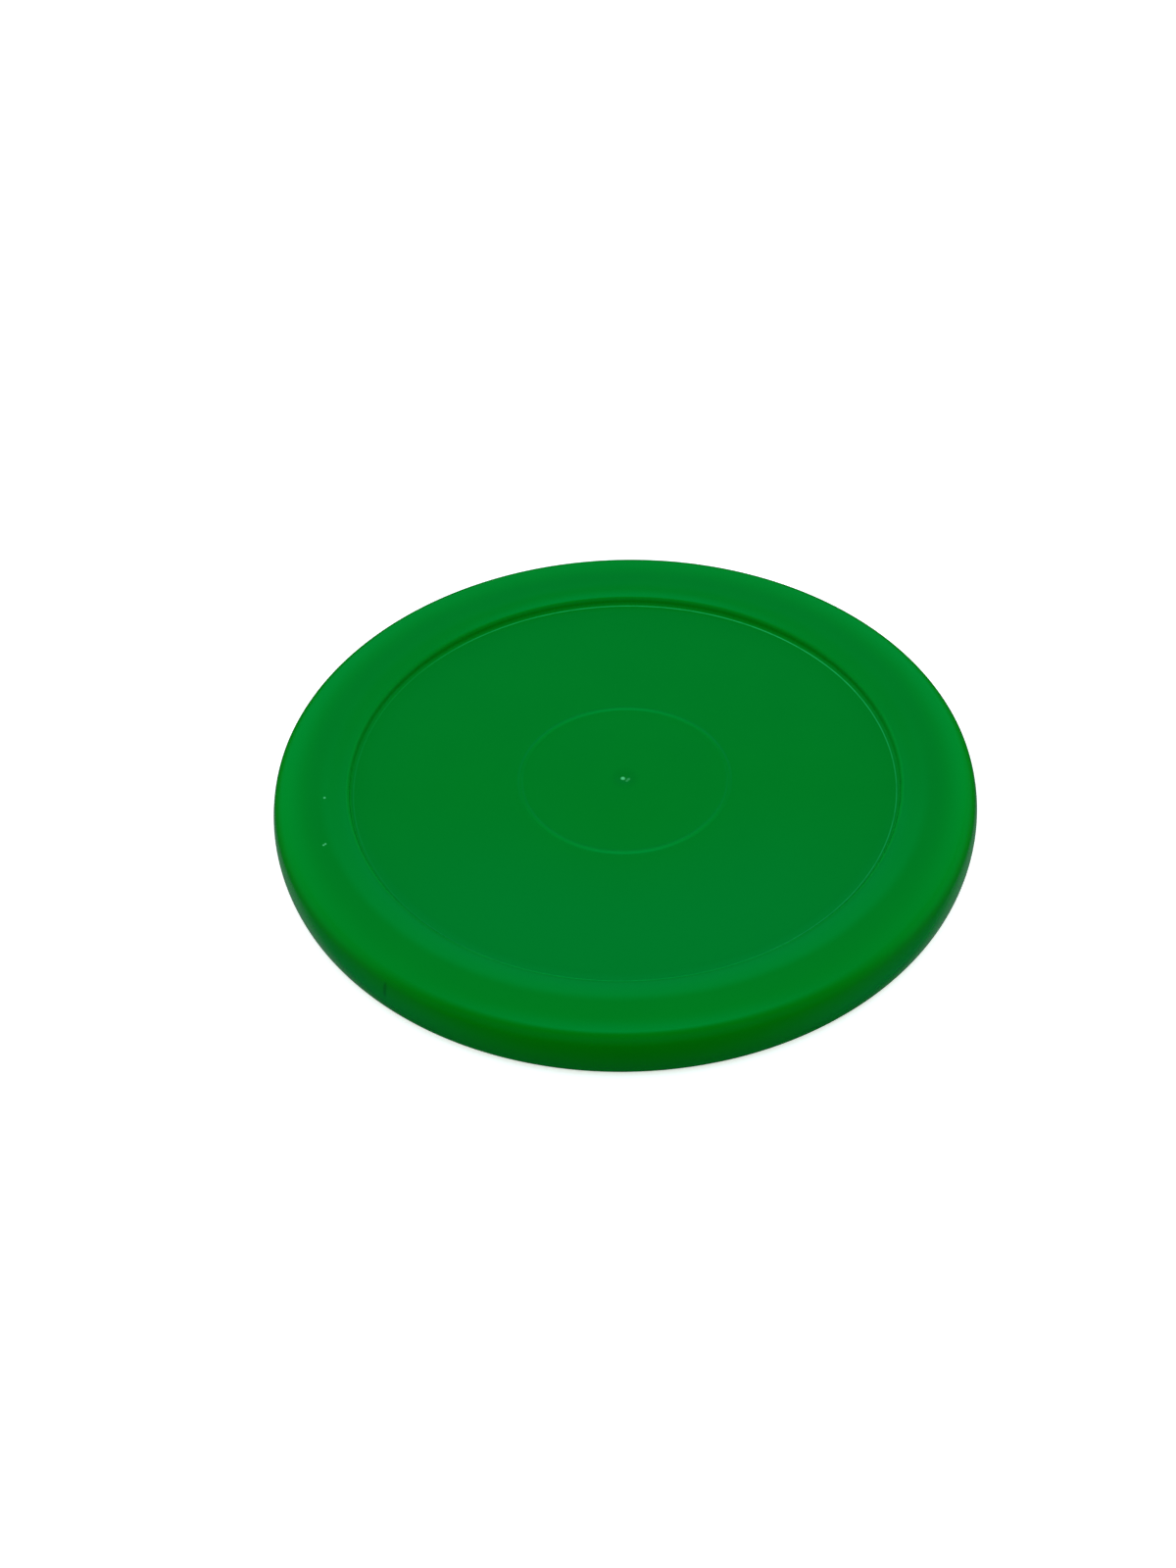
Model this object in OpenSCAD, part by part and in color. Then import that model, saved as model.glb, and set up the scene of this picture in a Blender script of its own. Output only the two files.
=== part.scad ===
// Air hockey puck: one solid moulding with a raised rim round a shallow recess in each face.
// The origin is the centre of the plane that the underside's rim rests on, and Z is the puck's axis.
// One radial half-section is turned about Z, so every face is flat, conical or round.

/* [Puck] */
// Outside diameter, at the parting line round the middle of the side
puck_d = 82.5; // [81:0.5:88]
// Thickness over the two flat rim lands
puck_t = 6.5; // [5.5:0.1:8]
// Radius of the crown of the side, from rim to rim
side_r = 6.8; // [5:0.2:12]
// Radius of the round between the rim and the side
shoulder_r = 1.7; // [1:0.1:1.9]

/* [Rim] */
// Inner diameter of the flat land that the puck slides on
land_in_d = 69.6; // [68:0.2:72]
// Outer diameter of the flat land
land_out_d = 75.2; // [73:0.2:75.6]
// Slope of the relieved band between the land and the lip of the recess
inner_slope = 6.5; // [3:0.5:9]
// Slope of the relieved band between the land and the shoulder
outer_slope = 4; // [2:0.5:8]

/* [Recess] */
// Diameter of the recess floor, at the foot of its wall
floor_d = 64.2; // [62:0.2:65]
// Depth of the recess floor below the land
recess_depth = 1.25; // [1:0.05:1.6]
// Draft of the recess wall, from the puck's axis
wall_draft = 13; // [8:1:25]
// Radius of the round on the lip of the recess, or less where the wall is too short for it
lip_r = 0.6; // [0.3:0.05:0.8]
// Radius of the fillet at the foot of the recess wall
fillet_r = 0.5; // [0.2:0.05:0.6]

/* [Moulding marks] */
// Diameter of the fine raised ring on the top floor
ring_d = 24.5; // [10:0.1:40]
// Width of the ring at the floor
ring_w = 0.8; // [0.4:0.1:1.2]
// Height of the ring above the floor
ring_h = 0.08; // [0.04:0.01:0.12]
// Diameter of the shallow dish round the gate mark
dish_d = 2.4; // [1.6:0.1:4]
// Depth of the dish
dish_depth = 0.08; // [0.06:0.01:0.2]
// Diameter of the gate mark left in the middle of the dish
gate_d = 0.8; // [0.6:0.1:1.4]
// Height of the gate mark above the floor
gate_h = 0.05; // [0.02:0.01:0.2]

/* [Hidden] */
$fn = 128;

puck_colour = [0, 0.45, 0.13];

// Heights are measured from the parting plane, half way up the puck.
half_t = puck_t / 2;
floor_h = half_t - recess_depth;

// How far each round stands past the faces that it blends, so that they cross cleanly
blend = 0.002;

// The shoulder's round touches the outer relief, and the crown of the side from within.
relief_normal = [sin(outer_slope), cos(outer_slope)];
relief_along = [cos(outer_slope), -sin(outer_slope)];
side_centre = [puck_d / 2 - side_r, 0];
shoulder_rise = ([land_out_d / 2, half_t] - side_centre) * relief_normal - shoulder_r;
shoulder_run = sqrt(pow(side_r - shoulder_r, 2) - pow(shoulder_rise, 2));
shoulder_centre = side_centre + shoulder_rise * relief_normal + shoulder_run * relief_along;
shoulder_top = shoulder_centre + shoulder_r * relief_normal;
side_top = side_centre + side_r * (shoulder_centre - side_centre) / (side_r - shoulder_r);

// The lip corner is where the drafted recess wall meets the inner relief.
wall_run = tan(wall_draft);
inner_fall = tan(inner_slope);
lip_rise = (recess_depth - inner_fall * (land_in_d - floor_d) / 2) / (1 - inner_fall * wall_run);
lip_corner = [floor_d / 2 + lip_rise * wall_run, floor_h + lip_rise];

// The lip's round takes at most this share of the wall that the fillet leaves.
lip_share = 0.85;
wall_left = lip_rise / cos(wall_draft) - fillet_r * tan(45 - wall_draft / 2);
lip_round = min(lip_r, lip_share * wall_left / tan(45 - (wall_draft + inner_slope) / 2));

// Corners of the upper half-section, each with the radius that rounds it, counter-clockwise from the axis.
SECTION = [
    [0, 0, 0],
    [puck_d / 2, 0, 0],
    [side_top.x, side_top.y, 0],
    [shoulder_top.x, shoulder_top.y, 0],
    [land_out_d / 2, half_t, 0],
    [land_in_d / 2, half_t, 0],
    [lip_corner.x, lip_corner.y, lip_round],
    [floor_d / 2, floor_h, fillet_r],
    [0, floor_h, 0]
];

// Radius of the circle whose cap has the given width and height
function cap_radius(width, height) = (width * width / 4 + height * height) / (2 * height);

function at(corner) = [corner.x, corner.y];
function unit(v) = v / norm(v);
function to_before(i) = unit(at(SECTION[i - 1]) - at(SECTION[i]));
function to_after(i) = unit(at(SECTION[i + 1]) - at(SECTION[i]));
function half_angle(i) = acos(to_before(i) * to_after(i)) / 2;

// A rounded corner gives the two points where its round touches its faces.
function touch_points(i) =
    let (corner = SECTION[i])
    corner.z == 0
        ? [at(corner)]
        : let (setback = corner.z / tan(half_angle(i)))
          [at(corner) + setback * to_before(i), at(corner) + setback * to_after(i)];

function round_centre(i) =
    at(SECTION[i]) + SECTION[i].z / sin(half_angle(i)) * unit(to_before(i) + to_after(i));

// A corner is convex where the outline turns left.
function is_convex(i) = cross(to_after(i), to_before(i)) > 0;
ROUNDED = [for (i = [0 : len(SECTION) - 1]) if (SECTION[i].z > 0) i];

module rounds(convex) {
    for (i = ROUNDED)
        if (is_convex(i) == convex)
            translate(round_centre(i)) circle(SECTION[i].z + blend);
}

// The crown of the side, as the sector of a circle above the parting plane
module side_section() {
    intersection() {
        translate(side_centre) circle(side_r);
        polygon([side_centre, side_centre + [2 * side_r, 0], 2 * side_top - side_centre]);
    }
}

// Half-section of one face of the puck, above the parting plane
module face_section() {
    difference() {
        union() {
            polygon([for (i = [0 : len(SECTION) - 1]) each touch_points(i)]);
            rounds(convex = true);
            translate(shoulder_centre) circle(shoulder_r + blend);
            side_section();
        }
        rounds(convex = false);
    }
}

// Half-section of the fine ring, as the top of a circle that stands out of the floor
module ring_section() {
    bead_r = cap_radius(ring_w, ring_h);
    intersection() {
        translate([ring_d / 2, floor_h + ring_h - bead_r]) circle(bead_r);
        square([puck_d, half_t]);
    }
}

// Half-section of the dish round the gate, as the foot of a circle on the axis
module dish_section() {
    dish_r = cap_radius(dish_d, dish_depth);
    translate([0, floor_h - dish_depth + dish_r]) circle(dish_r);
}

// Half-section of the gate mark, a stub that tapers to three quarters of its foot
module gate_section() {
    foot_h = floor_h - 2 * dish_depth;
    top_h = floor_h + gate_h;
    polygon([[0, foot_h], [gate_d / 2, foot_h], [gate_d * 3 / 8, top_h], [0, top_h]]);
}

// Half-section of the whole puck: both faces, with the ring and the gate mark on the top one
module puck_section() {
    intersection() {
        union() {
            difference() {
                union() {
                    face_section();
                    mirror([0, 1]) face_section();
                }
                dish_section();
            }
            ring_section();
            gate_section();
        }
        translate([0, -puck_t]) square([puck_d, 2 * puck_t]);
    }
}

module puck() {
    color(puck_colour)
        translate([0, 0, half_t])
            rotate_extrude() puck_section();
}

puck();
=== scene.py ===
"""Air hockey puck: one green plastic moulding, lying on a pale floor in soft light."""

import math

import bpy
import numpy as np
from mathutils import Matrix, Vector


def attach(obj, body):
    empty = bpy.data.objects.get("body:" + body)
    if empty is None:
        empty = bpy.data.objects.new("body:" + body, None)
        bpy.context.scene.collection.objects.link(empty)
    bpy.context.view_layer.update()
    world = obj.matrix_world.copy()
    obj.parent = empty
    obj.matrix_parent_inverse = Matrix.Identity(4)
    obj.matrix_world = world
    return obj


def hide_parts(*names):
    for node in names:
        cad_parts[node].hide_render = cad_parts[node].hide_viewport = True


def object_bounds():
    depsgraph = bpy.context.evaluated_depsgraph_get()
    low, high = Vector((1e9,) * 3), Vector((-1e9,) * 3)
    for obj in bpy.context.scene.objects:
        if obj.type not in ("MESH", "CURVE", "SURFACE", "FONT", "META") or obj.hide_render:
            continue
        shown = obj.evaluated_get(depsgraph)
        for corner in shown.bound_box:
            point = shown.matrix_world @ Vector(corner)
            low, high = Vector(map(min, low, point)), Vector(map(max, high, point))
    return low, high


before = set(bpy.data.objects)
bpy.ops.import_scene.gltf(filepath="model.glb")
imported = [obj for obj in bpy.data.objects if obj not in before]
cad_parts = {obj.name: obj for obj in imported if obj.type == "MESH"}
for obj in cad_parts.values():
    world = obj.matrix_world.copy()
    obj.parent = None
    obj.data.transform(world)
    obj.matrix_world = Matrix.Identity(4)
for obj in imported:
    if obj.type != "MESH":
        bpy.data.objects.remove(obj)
cad_low, cad_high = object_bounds()

# Sizes of the puck, in metres. The diameter and the thickness are the frame's own.
MM = 0.001
outer_radius = (cad_high.x - cad_low.x) / 2
thickness = cad_high.z - cad_low.z
parting_height = (cad_high.z + cad_low.z) / 2
recess_depth = 1.25 * MM
top_floor_height = cad_high.z - recess_depth

# The rim's section, walked outwards along the top face: slopes in degrees, radii in metres.
floor_radius = 31.66 * MM
fillet_bend = 0.55 * MM
wall_slope = 77
lip_bend = 0.65 * MM
lip_slope = 16
inner_roll_bend = 8 * MM
outer_roll_bend = 13 * MM
outer_roll_slope = -9.5
shoulder_bend = 1.7 * MM
side_bend = 6.8 * MM

# Marks of the moulding on the top floor. The burr's turn and reach round the gate are in radians.
ring_radius = 12.25 * MM
ring_half_width = 0.42 * MM
ring_height = 0.08 * MM
dish_radius = 1.2 * MM
dish_depth = 0.08 * MM
stub_place = (-0.2 * MM, 0.02 * MM)
stub_radius = 0.27 * MM
stub_height = 0.09 * MM
stub_rise = (0.045, 0.24)
burr_radius = 0.5 * MM
burr_half_width = 0.16 * MM
burr_height = 0.05 * MM
burr_turn = -0.3
burr_reach = 1.4

# Bands of painted light and shade round the axis: how far from an edge, in millimetres, each one starts, is
# full, begins to fade and ends. The first is a painted highlight along the recess fillet. The first six go by
# the recess floor's edge, then one by the ring and one by the outside.
fillet_highlight_band = (0, 0.1, 0.12, 0.22)
floor_band = (-26.65, -6.65, -0.65, 0.35)
foot_band = (-1.05, -0.05, 0.25, 0.45)
wall_band = (0.25, 0.45, 0.75, 1.05)
lip_band = (0.35, 0.5, 0.8, 1)
inner_roll_band = (0.65, 1.35, 2.95, 4.25)
ring_band = (-0.35, -0.15, 0.15, 0.35)
outer_roll_band = (-5.25, -1.05, -0.75, -0.15)

# Height above the parting plane over which the top face's marks and bands fade in.
top_fade = 0.5 * MM

# Marks on the top face: x, y and reach in millimetres, and strength. Each has its strength over the core, a
# share of its reach. The pale ones are three pale specks on the rim, and painted glints on the gate's stub
# and on the two ends of its burr. The dark ones are painted shade in a small nick and painted shade round the
# gate.
spot_core = 0.3
specks_and_painted_glints = [
    (-34.84, -3.58, 0.2, 1),
    (-34.34, -11.34, 0.17, 1),
    (-34.14, -11.16, 0.17, 1),
    (-0.2, 0, 0.36, 1),
    (0.44, -0.18, 0.3, 0.3),
    (0.25, -0.45, 0.25, 0.25),
]
# Painted shade in a small nick, with no dent in the shape.
nick_painted_shade = (-26.34, -31.55, 0.35, 0.4)
# Painted shade round the gate's dish.
gate_painted_shade = (0, 0, 2.2, 0.9)

# Strength of the painted highlight along the recess fillet: everywhere, behind and on the right, and the
# share that breaks up. The highlight is strongest a little to the right of straight behind. A pair of stages
# is where a share starts and where it is full.
fillet_highlight_least = 0.14
fillet_highlight_behind = 0.66
fillet_highlight_right = 0.38
fillet_highlight_broken = 0.3
fillet_highlight_heading = (0.26, 0.97)
fillet_highlight_behind_stages = (0.2, 1)
fillet_highlight_right_stages = (0.2, 0.75)
fillet_highlight_broken_stages = (0.25, 0.55)

# Strength of the ring's painted highlight, which lies only in front and behind.
ring_highlight_strength = 0.8
ring_highlight_stages = (0.2, 0.9)

# The light and the studio that the gloss mirrors, by the parts of a direction: across is 1 at +X, behind is 1
# at +Y and above is 1 at the zenith. Each pair is where an edge starts and where it ends.
glow_backdrop = (-0.6, 0)
glow_top = (0, 0.5)
overhead_heading = (0.97, 0.26)
overhead_edge = (0.955, 1)
panel_inner_edge = (0.13, 0.25)
panel_outer_edge = (0.33, 0.5)
strip_outer_edge = (-0.85, -0.7)
strip_inner_edge = (-0.5, -0.35)
strip_front_edge = (0.45, 0.7)
studio_front = (-0.35, 0.15)
studio_foot = (-0.05, 0.6)
back_ground_front = (0.2, 0.45)
back_ground_top = (-0.65, -0.35)
under_ground_side = (0.4, 0.75)
under_ground_top = (-0.9, -0.1)
ground_line = (-0.1, 0)

# Columns of the turned surface, once round the axis.
columns = 360


class Value:
    """A socket of a shader tree. Arithmetic on it adds Math nodes, and add() makes any other node."""

    def __init__(self, tree, socket=None):
        self.tree = tree
        self.socket = socket

    def add(self, kind, settings=None, sockets=None, output=0):
        """Adds a node of that kind: its settings first, then the values or links of its sockets."""
        node = self.tree.nodes.new("ShaderNode" + kind)
        for name, setting in (settings or {}).items():
            setattr(node, name, setting)
        for name, given in (sockets or {}).items():
            if isinstance(given, Value):
                self.tree.links.new(given.socket, node.inputs[name])
            else:
                node.inputs[name].default_value = given
        return Value(self.tree, node.outputs[output] if len(node.outputs) else None)

    def maths(self, operation, *values):
        """Adds a Math node on the values, or on this value alone where none are given."""
        return self.add("Math", {"operation": operation}, dict(enumerate(values or [self])))

    def ramp(self, low, high):
        """Rises smoothly from 0 at low to 1 at high."""
        settings = {"interpolation_type": "SMOOTHSTEP"}
        return self.add("MapRange", settings, {"Value": self, "From Min": low, "From Max": high})

    def __add__(self, other):
        return self.maths("ADD", self, other)

    def __sub__(self, other):
        return self.maths("SUBTRACT", self, other)

    def __rsub__(self, other):
        return self.maths("SUBTRACT", other, self)

    def __mul__(self, other):
        return self.maths("MULTIPLY", self, other)

    def __truediv__(self, other):
        return self.maths("DIVIDE", self, other)

    __radd__ = __add__
    __rmul__ = __mul__


def empty_tree(holder):
    """Clears the shader tree of a material or the world, and gives a wrapper to start from."""
    holder.use_nodes = True
    holder.node_tree.nodes.clear()
    return Value(holder.node_tree)


def parts_of(tree, vector):
    """The X, Y and Z of a vector, each as a value."""
    return [tree.add("SeparateXYZ", sockets={"Vector": vector}, output=axis) for axis in "XYZ"]


def run(length, slope, rows):
    """A straight stretch of the section: r and z grow evenly along the slope."""
    along = np.linspace(0, length, rows + 1)[1:]
    heading = math.radians(slope)
    return np.stack([along * math.cos(heading), along * math.sin(heading)], axis=1)


def bend(radius, start, end, rows):
    """A round stretch of the section, whose slope turns evenly from start to end.

    r grows by radius * (sin slope - sin start) and z by radius * (cos start - cos slope),
    with the radius taken as negative where the section turns downwards.
    """
    signed = math.copysign(radius, end - start)
    slope = np.radians(np.linspace(start, end, rows + 1))
    along = np.stack([np.sin(slope) - np.sin(slope[0]), np.cos(slope[0]) - np.cos(slope)], axis=1)
    return signed * along[1:]


def chain(start, stretches):
    """Joins stretches of the section end to end, from the start point."""
    points = [np.array([start])]
    for stretch in stretches:
        points.append(points[-1][-1] + stretch)
    return np.concatenate(points)


def floor_rows(stretches):
    """Radii of the floor's rows: even steps along each stretch, given by its two ends and its rows."""
    return np.concatenate([np.linspace(start, end, rows + 1)[1:] for (start, end, rows) in stretches])


def face_section(floor):
    """Half-section of one face, from the axis to the parting line, with heights above the parting plane.

    The floor's rows are at the given radii. The wall's length is what the bends leave of the recess
    depth, and the shoulder ends at the slope from which the crowned side reaches the parting plane
    upright. The flat land takes up the rest of the radius.
    """
    fillet = bend(fillet_bend, 0, wall_slope, rows=10)
    lip = bend(lip_bend, wall_slope, lip_slope, rows=18)
    inner_roll = bend(inner_roll_bend, lip_slope, 0, rows=8)
    outer_roll = bend(outer_roll_bend, 0, outer_roll_slope, rows=8)
    shoulder_drop = shoulder_bend * math.cos(math.radians(outer_roll_slope))
    shoulder_centre = thickness / 2 + outer_roll[-1, 1] - shoulder_drop
    side_slope = -math.degrees(math.acos(shoulder_centre / (side_bend - shoulder_bend)))
    shoulder = bend(shoulder_bend, outer_roll_slope, side_slope, rows=20)
    side = bend(side_bend, side_slope, -90, rows=10)

    wall_rise = recess_depth - fillet[-1, 1] - lip[-1, 1] - inner_roll[-1, 1]
    wall = run(wall_rise / math.sin(math.radians(wall_slope)), wall_slope, rows=2)

    inside = floor_radius + sum(part[-1, 0] for part in (fillet, wall, lip, inner_roll))
    outside = outer_radius - sum(part[-1, 0] for part in (outer_roll, shoulder, side))
    land = run(outside - inside, 0, rows=6)

    floor_height = thickness / 2 - recess_depth
    flat = np.stack([floor, np.full_like(floor, floor_height)], axis=1)
    rim = chain(flat[-1], [fillet, wall, lip, inner_roll, land, outer_roll, shoulder, side])
    return np.concatenate([flat[:-1], rim])


def hump(distance, half_width):
    """1 at distance 0, falling as a raised cosine to 0 at the half width."""
    inside = np.clip(np.abs(distance) / half_width, 0, 1)
    return (1 + np.cos(np.pi * inside)) / 2


def moulding_marks(x, y):
    """Height that the marks add to the top floor: a fine ring, and the gate's broken stub in a shallow dish.

    The ring and the dish are raised cosines of the radius. The stub is a small disc with a slanted top,
    which grows evenly along x and y, and the burr is a raised cosine round the half of it on the +X side.
    """
    radius = np.hypot(x, y)
    angle = np.arctan2(y, x)
    ring = ring_height * hump(radius - ring_radius, ring_half_width)
    dish = -dish_depth * hump(radius, dish_radius)
    stub_x = x - stub_place[0]
    stub_y = y - stub_place[1]
    slant = stub_height + stub_rise[0] * stub_x + stub_rise[1] * stub_y
    stub = slant * np.sqrt(hump(np.hypot(stub_x, stub_y), stub_radius))
    burr = burr_height * hump(radius - burr_radius, burr_half_width) * hump(angle - burr_turn, burr_reach)
    return ring + dish + stub + burr


def turned_puck():
    """The puck's skin: a face's section turned about Z, on top and mirrored underneath.

    A point at radius r, angle a and height z is (r cos a, r sin a, z). The rows run from the top
    pole over the rim to the parting line and on, mirrored, to the bottom pole.
    """
    marked_floor = floor_rows([
        (0, dish_radius, 40),
        (dish_radius, ring_radius - ring_half_width, 8),
        (ring_radius - ring_half_width, ring_radius + ring_half_width, 20),
        (ring_radius + ring_half_width, floor_radius, 12),
    ])
    plain_floor = floor_rows([(0, floor_radius, 12)])
    top = face_section(marked_floor)
    under = face_section(plain_floor)[-2::-1]

    radius = np.concatenate([top[:, 0], under[:, 0]])[:, None]
    height = parting_height + np.concatenate([top[:, 1], -under[:, 1]])[:, None]
    turn = np.arange(columns) * (2 * np.pi / columns)
    x = radius * np.cos(turn)
    y = radius * np.sin(turn)
    z = np.broadcast_to(height, x.shape).copy()
    z[:len(top)] += moulding_marks(x[:len(top)], y[:len(top)])
    rows = np.stack([x, y, z], axis=2)

    pole = np.zeros(1)
    top_pole = [0, 0, height[0, 0] + moulding_marks(pole, pole)[0]]
    under_pole = [0, 0, height[-1, 0]]
    vertices = np.concatenate([rows.reshape(-1, 3), [top_pole, under_pole]])

    here = np.arange(columns)
    after = (here + 1) % columns
    row_start = (np.arange(len(rows) - 1) * columns)[:, None]
    next_row = row_start + columns
    quads = np.stack([row_start + here, next_row + here, next_row + after, row_start + after], axis=2)
    last_row = (len(rows) - 1) * columns
    top_fan = np.stack([np.full(columns, len(vertices) - 2), here, after], axis=1)
    under_fan = np.stack([np.full(columns, len(vertices) - 1), last_row + after, last_row + here], axis=1)
    faces = quads.reshape(-1, 4).tolist() + top_fan.tolist() + under_fan.tolist()

    mesh = bpy.data.meshes.new("puck_skin")
    mesh.from_pydata(vertices, [], faces)
    mesh.polygons.foreach_set("use_smooth", np.ones(len(mesh.polygons), dtype=bool))
    mesh.update()
    return mesh


def place(name, mesh, material):
    """Puts a mesh into the scene at the origin, with its material."""
    piece = bpy.data.objects.new(name, mesh)
    bpy.context.scene.collection.objects.link(piece)
    mesh.materials.append(material)
    return piece


def green_plastic():
    """Green moulding plastic: faintly mottled and grained, with a painted highlight along the recess fillet,
    pale specks on the rim, painted glints on the gate and painted shade in a nick and round the gate.

    On the top face, bands of slightly other greens are painted light and shade on the rim, the ring, the
    recess wall and the floor. Some are stronger in front and some behind. They stay on the puck.
    """
    material = bpy.data.materials.new("green_plastic")
    tree = empty_tree(material)
    where = tree.add("TexCoord", output="Object")
    across, along, height = parts_of(tree, where)
    radius = (across * across + along * along).maths("SQRT")
    top = height.ramp(parting_height, parting_height + top_fade)

    # Sines of the bearing: right is 1 at +X, back is 1 at +Y and -1 in front.
    right = across / radius
    back = along / radius

    def spot(x, y, reach, strength):
        """Its strength at a place on the top face, falling to 0 at the reach. Lengths are in millimetres."""
        aside = across - x * MM
        ahead = along - y * MM
        distance = (aside * aside + ahead * ahead).maths("SQRT")
        return strength * (1 - distance.ramp(spot_core * reach * MM, reach * MM)) * top

    def band(edge, start, full, fading, end):
        """1 in a band round the axis, whose four stages are in millimetres from an edge's radius."""
        rise = radius.ramp(edge + start * MM, edge + full * MM)
        return rise * (1 - radius.ramp(edge + fading * MM, edge + end * MM))

    def fading_back(start, end, kept):
        """1 in front, falling to the share that is kept behind, between two sines of the bearing."""
        return 1 - (1 - kept) * back.ramp(start, end)

    def blend(factor, first, second):
        return tree.add("Mix", {"data_type": "RGBA"}, {"Factor": factor, 6: first, 7: second}, output=2)

    mottle = tree.add("TexNoise", sockets={"Vector": where, "Scale": 150, "Detail": 4})
    grain = tree.add("TexNoise", sockets={"Vector": where, "Scale": 2600, "Detail": 2})
    ragged = tree.add("TexNoise", sockets={"Vector": where, "Scale": 700, "Detail": 1})

    # Painted highlight along the recess fillet, strongest a little right of straight behind, broken up by
    # noise.
    heading = (fillet_highlight_heading[0] * right + fillet_highlight_heading[1] * back).ramp(*fillet_highlight_behind_stages)
    fillet_highlight_share = fillet_highlight_least + fillet_highlight_behind * heading + fillet_highlight_right * right.ramp(*fillet_highlight_right_stages)
    unbroken = (1 - fillet_highlight_broken) + fillet_highlight_broken * ragged.ramp(*fillet_highlight_broken_stages)
    painted_fillet_highlight = band(floor_radius, *fillet_highlight_band) * fillet_highlight_share * unbroken
    # Pale specks on the rim, and painted glints on the gate's stub and the ends of its burr.
    specks_and_glints = sum(spot(*mark) for mark in specks_and_painted_glints)

    # Painted light and shade in bands: a painted reflection on the floor's front half, and painted light on
    # the lip's foot, the wall, the lip and the rolls, stronger in front or behind.
    front = fading_back(start=-1, end=0, kept=0)
    floor_painted_reflection = front * band(floor_radius, *floor_band)
    foot_painted_light = front * band(floor_radius, *foot_band)
    # Painted highlight on the ring's crest, only in front and behind.
    ring_highlight_ends = ring_highlight_strength * back.maths("ABSOLUTE").ramp(*ring_highlight_stages)
    ring_painted_highlight = ring_highlight_ends * band(ring_radius, *ring_band)
    wall_painted_light = fading_back(start=-0.5, end=0.8, kept=0.15) * band(floor_radius, *wall_band)
    inner_roll_painted_light = fading_back(start=-1, end=0.4, kept=0.1) * band(floor_radius, *inner_roll_band)
    lip_painted_light = fading_back(start=-1, end=-0.75, kept=0) * band(floor_radius, *lip_band)
    outer_roll_painted_light = (1 - front) * band(outer_radius, *outer_roll_band)

    # Layers of colour over the plain green: how much of each there is, and its linear red, green and blue.
    # Apart from the rim's pale specks they are painted light and shade: a painted reflection on the floor's
    # front half, painted light on the lip's foot, the wall, the lip and the rolls, painted highlights on the
    # ring and the fillet, painted glints on the gate, and painted shade round the gate and in a nick.
    layers = [
        (top * floor_painted_reflection, (0, 0.158, 0.008)),
        (top * foot_painted_light, (0, 0.174, 0.012)),
        (spot(*gate_painted_shade), (0, 0.14, 0)),
        (top * ring_painted_highlight, (0, 0.196, 0.009)),
        (top * wall_painted_light, (0, 0.255, 0.013)),
        (top * inner_roll_painted_light, (0, 0.188, 0.011)),
        (top * lip_painted_light, (0, 0.34, 0.04)),
        (top * outer_roll_painted_light, (0, 0.206, 0)),
        (painted_fillet_highlight, (0.018, 0.34, 0.08)),
        (specks_and_glints, (0.12, 0.52, 0.2)),
        (spot(*nick_painted_shade), (0, 0.03, 0)),
    ]
    colour = blend(mottle, (0, 0.153, 0, 1), (0, 0.163, 0, 1))
    for share, (red, green, blue) in layers:
        colour = blend(share, colour, (red, green, blue, 1))

    bump = tree.add("Bump", sockets={"Strength": 0.15, "Distance": 0.02 * MM, "Height": grain})
    plastic = tree.add("BsdfPrincipled", sockets={
        "Base Color": colour,
        "Roughness": 0.22 + 0.06 * mottle,
        "Normal": bump,
        "IOR": 1.58,
        "Specular Tint": (0, 1, 0.45, 1),
    })
    tree.add("OutputMaterial", sockets={"Surface": plastic})
    return material


def pale_floor():
    """Plain matt white paint, with a faint warm glow that evens out the blue-green fill light."""
    material = bpy.data.materials.new("pale_floor")
    tree = empty_tree(material)
    paint = tree.add("BsdfPrincipled", sockets={
        "Base Color": (0.94, 0.94, 0.94, 1),
        "Roughness": 0.9,
        "Specular IOR Level": 0.1,
        "Emission Color": (1, 0.74, 0.78, 1),
        "Emission Strength": 0.7,
    })
    tree.add("OutputMaterial", sockets={"Surface": paint})
    return material


def floor_sheet(half_width):
    """A flat square in the plane that the puck lies on."""
    corners = np.array([(-1, -1), (1, -1), (1, 1), (-1, 1)]) * half_width
    height = np.full((4, 1), cad_low.z)
    mesh = bpy.data.meshes.new("floor_sheet")
    mesh.from_pydata(np.hstack([corners, height]), [], [(0, 1, 2, 3)])
    return mesh


def towards(elevation, bearing):
    """Unit vector at an elevation and a bearing in degrees, the bearing counted from +X towards +Y."""
    rise = math.radians(elevation)
    turn = math.radians(bearing)
    return Vector((math.cos(rise) * math.cos(turn), math.cos(rise) * math.sin(turn), math.sin(rise)))


def lighting_dome(tree, behind, above, dome, glow, fill):
    """What lights the scene: an even dome, a glow low at the sides and behind, and a fill in front."""
    backdrop = behind.ramp(*glow_backdrop)
    over_glow = above.ramp(*glow_top)
    horizon = backdrop * (1 - over_glow)
    front = (1 - backdrop) * over_glow
    strength = dome + glow * horizon + fill * front
    return tree.add("Background", sockets={"Color": (0.3, 1, 1, 1), "Strength": strength})


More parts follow.
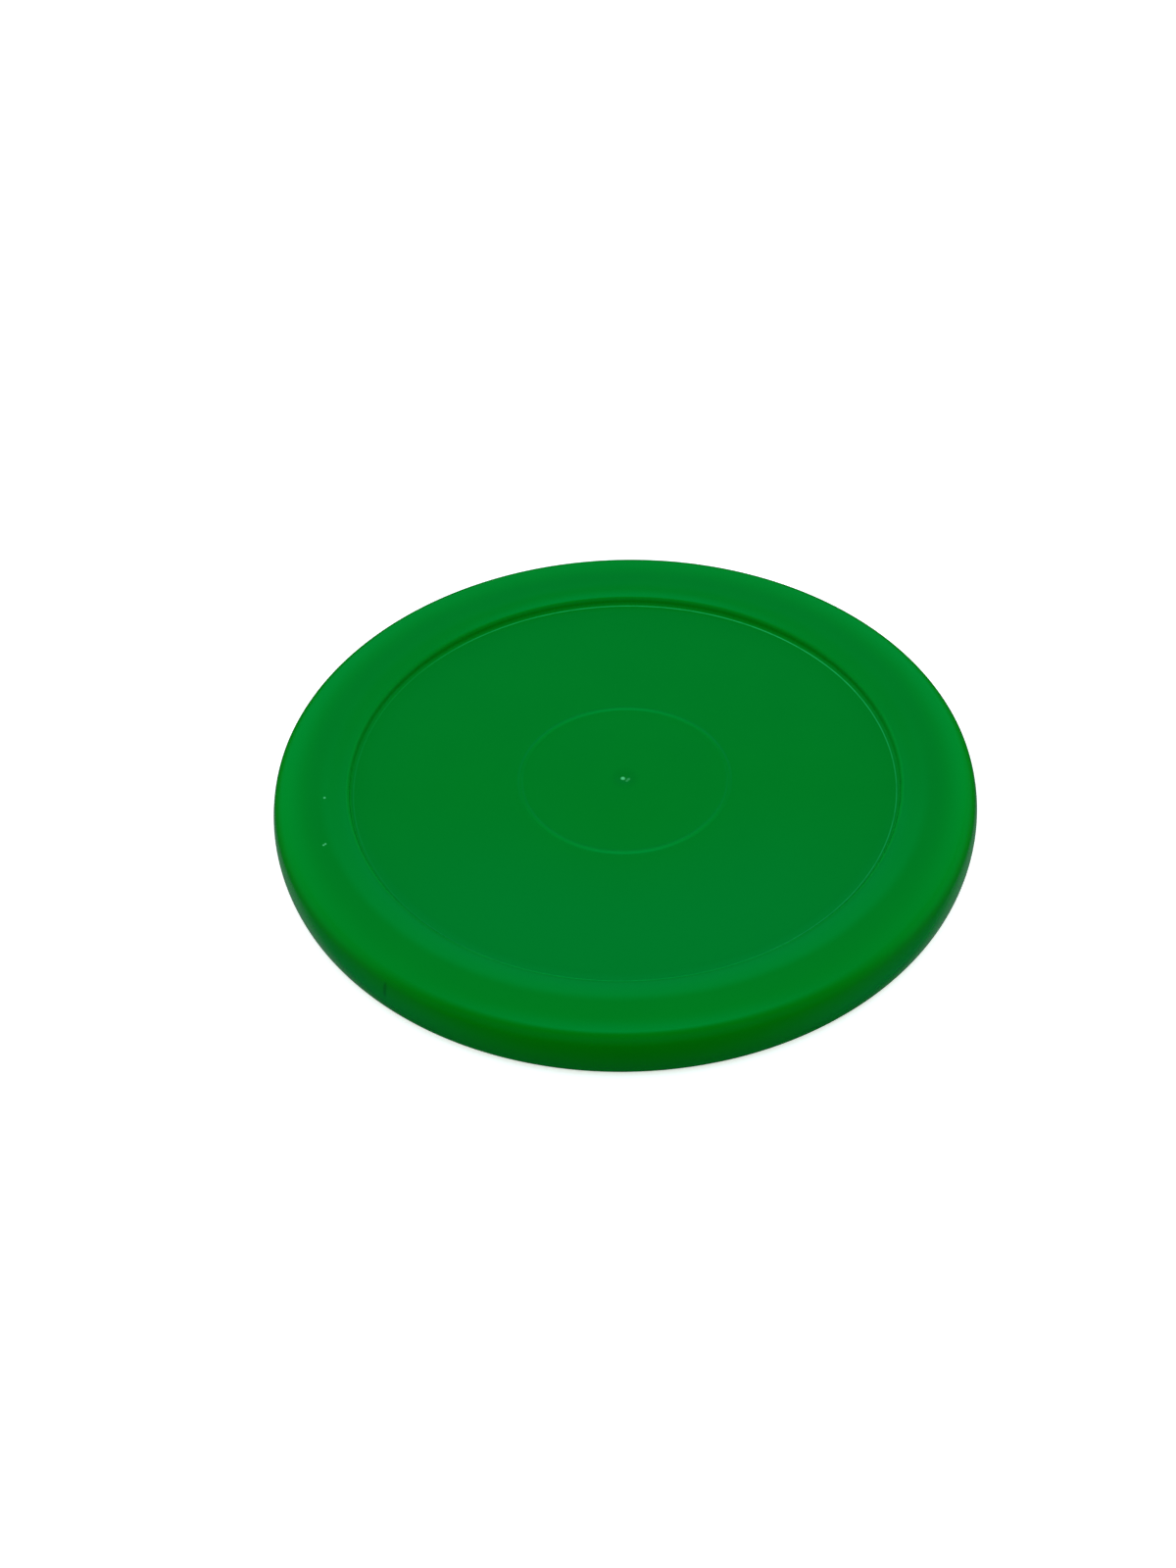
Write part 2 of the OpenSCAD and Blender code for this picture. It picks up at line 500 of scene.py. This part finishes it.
def mirrored_studio(tree, across, behind, above, tint, bright, side, dim, strip, ground, under, under_side):
    """What the gloss mirrors: a dim studio, bright overhead, with a panel on each side and a strip at left.

    The bright part's middle is 15 degrees behind the zenith. The studio fades out in front and down to the
    horizon. Below that, the ground is pale behind and at the sides.
    """
    aside = across.maths("ABSOLUTE")
    overhead = (overhead_heading[0] * above + overhead_heading[1] * behind).ramp(*overhead_edge)
    panels = aside.ramp(*panel_inner_edge) * (1 - aside.ramp(*panel_outer_edge)) * (1 - overhead)
    strip_width = across.ramp(*strip_outer_edge) * (1 - across.ramp(*strip_inner_edge))
    left_strip = strip_width * behind.ramp(*strip_front_edge)
    fade = behind.ramp(*studio_front) * above.ramp(*studio_foot)
    strength = (dim + (bright - dim) * overhead + (side - dim) * panels + strip * left_strip) * fade
    studio = tree.add("Background", sockets={"Color": tint, "Strength": strength})

    back_strength = ground * behind.ramp(*back_ground_front) * (1 - above.ramp(*back_ground_top))
    back_ground = tree.add("Background", sockets={"Color": (0.7, 1, 0.85, 1), "Strength": back_strength})
    under_strength = under + under_side * aside.ramp(*under_ground_side)
    under_strength = under_strength * (1 - above.ramp(*under_ground_top))
    under_ground = tree.add("Background", sockets={"Color": tint, "Strength": under_strength})
    both_grounds = tree.add("AddShader", sockets={0: back_ground, 1: under_ground})
    return tree.add("MixShader", sockets={0: above.ramp(*ground_line), 1: both_grounds, 2: studio})


def soft_sky():
    """The world round the scene: its light, what the gloss mirrors, and plain white for the camera."""
    world = bpy.data.worlds.new("soft_sky")
    bpy.context.scene.world = world
    world.cycles.sampling_method = "NONE"
    tree = empty_tree(world)
    across, behind, above = parts_of(tree, tree.add("TexCoord", output="Generated"))
    light = lighting_dome(tree, behind, above, dome=0.15, glow=2.2, fill=0.92)
    mirrored = mirrored_studio(
        tree, across, behind, above, tint=(0, 1, 0.95, 1), bright=1.5, side=0.68, dim=0.48, strip=0.15,
        ground=0.22, under=0.04, under_side=0.12,
    )
    lights = tree.add("LightPath", output="Is Diffuse Ray")
    seen = tree.add("LightPath", output="Is Camera Ray")
    unseen = tree.add("MixShader", sockets={0: lights, 1: mirrored, 2: light})
    white = tree.add("Background", sockets={"Color": (1, 1, 1, 1)})
    sky = tree.add("MixShader", sockets={0: seen, 1: unseen, 2: white})
    tree.add("OutputWorld", sockets={"Surface": sky})


def soft_lamp(elevation, bearing, spread, strength):
    """A broad, even lamp, far off, that the gloss doesn't mirror. The spread is its width in degrees."""
    light = bpy.data.lights.new("soft_lamp", "SUN")
    light.angle = math.radians(spread)
    light.energy = strength
    light.cycles.use_multiple_importance_sampling = False
    lamp = bpy.data.objects.new("soft_lamp", light)
    lamp.rotation_euler = towards(elevation, bearing).to_track_quat("Z", "Y").to_euler()
    lamp.visible_glossy = False
    bpy.context.scene.collection.objects.link(lamp)


def camera(elevation, roll, distance, lens, shift):
    """A camera that looks at the middle of the recess floor from the front, turned by the roll."""
    rise = math.radians(elevation)
    tilt = math.radians(roll)
    back = Vector((0, -math.cos(rise), math.sin(rise)))
    level = Vector((1, 0, 0))
    upright = back.cross(level)
    right = level * math.cos(tilt) + upright * math.sin(tilt)
    up = upright * math.cos(tilt) - level * math.sin(tilt)
    data = bpy.data.cameras.new("camera")
    data.sensor_width = 36
    data.lens = lens
    data.shift_x, data.shift_y = shift
    data.clip_start = 10 * MM
    eye = bpy.data.objects.new("camera", data)
    turn = Matrix((right, up, back)).transposed().to_4x4()
    eye.matrix_world = Matrix.Translation(Vector((0, 0, top_floor_height)) + back * distance) @ turn
    bpy.context.scene.collection.objects.link(eye)
    bpy.context.scene.camera = eye


puck = place("puck_moulding", turned_puck(), green_plastic())
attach(puck, "root")
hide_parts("puck")

floor = place("floor", floor_sheet(half_width=4), pale_floor())
floor.visible_glossy = False
floor.visible_diffuse = False

soft_sky()
soft_lamp(elevation=88, bearing=100, spread=70, strength=1.72)

# How far the picture's middle lies from the lens axis, in pixels of a picture 1600 high.
picture_height = 1600
middle_offset = (-37.4, -6.1)
shift = [pixels / picture_height for pixels in middle_offset]
camera(elevation=43.46, roll=-1.21, distance=0.2759, lens=53.95, shift=shift)
bpy.context.scene.view_settings.view_transform = "Standard"
